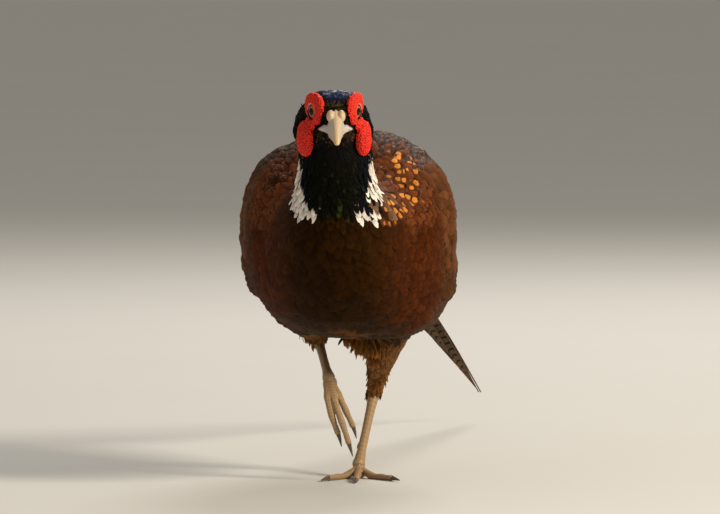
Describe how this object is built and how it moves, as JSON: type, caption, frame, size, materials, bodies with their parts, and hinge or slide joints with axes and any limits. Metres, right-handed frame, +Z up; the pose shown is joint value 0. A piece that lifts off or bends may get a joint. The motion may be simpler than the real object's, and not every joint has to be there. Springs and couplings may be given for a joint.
{
  "type": "common pheasant",
  "caption": "Life-size cock pheasant walking with one foot raised, long pointed tail, red face wattles and white neck ring.",
  "frame": {"origin": "on the floor, on the flat sole under the toe joint of the standing left foot", "axes": "+Z up, the bird faces -Y, +X is the bird's left; the long tail trails towards +Y and a little to +X"},
  "size_m": [0.19, 0.7734, 0.2973],
  "materials": {
    "head_feather": "dark blue-green feathers with a metallic gloss",
    "neck_feather": "black feathers with a green gloss over a white collar",
    "body_feather": "chestnut and copper feathers with dark edges",
    "wing_feather": "brown and buff feathers with pale borders",
    "tail_feather": "long buff-brown feathers with dark bars",
    "leg_feather": "short rusty brown feathers",
    "wattle": "bare red skin with fine papillae",
    "bill": "horn, pale yellow to blue-grey",
    "eye": "glossy, orange-brown iris and black pupil",
    "leg_skin": "scaled grey-brown skin",
    "claw": "dark horn"
  },
  "bodies": {
    "root": {"bill_lower": "bill", "bill_upper": "bill", "claw_left_1": "claw", "claw_left_2": "claw", "claw_left_3": "claw", "claw_left_4": "claw", "claw_right_1": "claw", "claw_right_2": "claw", "claw_right_3": "claw", "claw_right_4": "claw", "drumstick_left": "leg_feather", "drumstick_right": "leg_feather", "eye_left": "eye", "eye_right": "eye", "foot_left": "leg_skin", "foot_right": "leg_skin", "head": "head_feather", "neck": "neck_feather", "shank_left": "leg_skin", "shank_right": "leg_skin", "spur_left": "claw", "spur_right": "claw", "tail": "tail_feather", "torso": "body_feather", "wattle_left": "wattle", "wattle_right": "wattle", "wing_left": "wing_feather", "wing_right": "wing_feather"}
  },
  "joints": []
}
